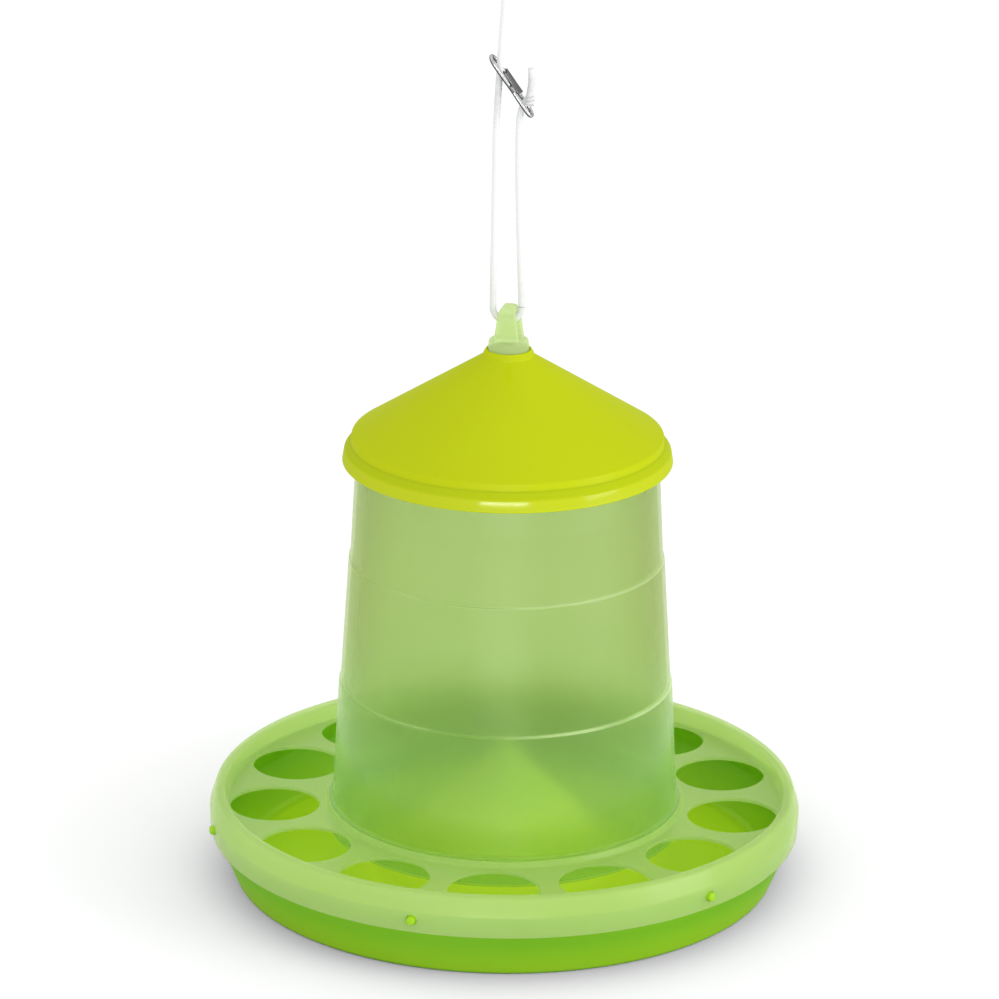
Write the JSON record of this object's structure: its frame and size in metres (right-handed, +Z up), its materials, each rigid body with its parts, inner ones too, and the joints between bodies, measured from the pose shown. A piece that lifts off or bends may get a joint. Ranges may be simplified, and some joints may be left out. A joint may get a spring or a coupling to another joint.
{
  "type": "gravity poultry feeder",
  "caption": "Hanging gravity feeder: a tray under a ring of round feeding holes, a tall translucent hopper with a conical lid, and a cord through an eye.",
  "frame": {"origin": "centre of the tray's underside, on the floor it stands on", "axes": "+Z up along the feeder's axis, -Y to the front, +X to the right seen from the front"},
  "size_m": [0.34, 0.34, 0.5845],
  "materials": {
    "tray": "glossy opaque green polypropylene",
    "translucent": "milky translucent pale green polypropylene",
    "lid": "satin opaque lime yellow-green polypropylene",
    "cord": "white braided cord",
    "steel": "bright plated steel wire",
    "steel_sheet": "dull plated steel sheet"
  },
  "bodies": {
    "base": {"tray": "tray", "tray_lug_1": "tray", "tray_lug_2": "tray", "tray_lug_3": "tray", "tray_lug_4": "tray", "tray_lug_5": "tray", "tray_lug_6": "tray"},
    "hopper_unit": {"hopper": "translucent", "feeding_ring": "translucent", "hanger_bridge": "translucent", "cord_left": "cord", "cord_right": "cord", "cord_top_loop": "cord", "top_knot": "cord"},
    "lid": {"lid": "lid"},
    "slider": {"adjuster_wire": "steel", "adjuster_sleeve": "steel_sheet", "stopper_knot": "cord", "cord_tail": "cord"}
  },
  "joints": [
    {"name": "hopper_lift", "type": "slide", "parent": "base", "child": "hopper_unit", "axis": [0, 0, 1], "range_m": [0, 0.06], "deforming": ["tray_lug_1", "tray_lug_2", "tray_lug_3", "tray_lug_4", "tray_lug_5", "tray_lug_6"]},
    {"name": "lid_lift", "type": "slide", "parent": "hopper_unit", "child": "lid", "axis": [0, 0, 1], "range_m": [0, 0.1]},
    {"name": "slider_slide", "type": "slide", "parent": "hopper_unit", "child": "slider", "axis": [0.058, 0, 0.9983], "range_m": [-0.02, 0.03], "deforming": ["cord_right"]}
  ]
}
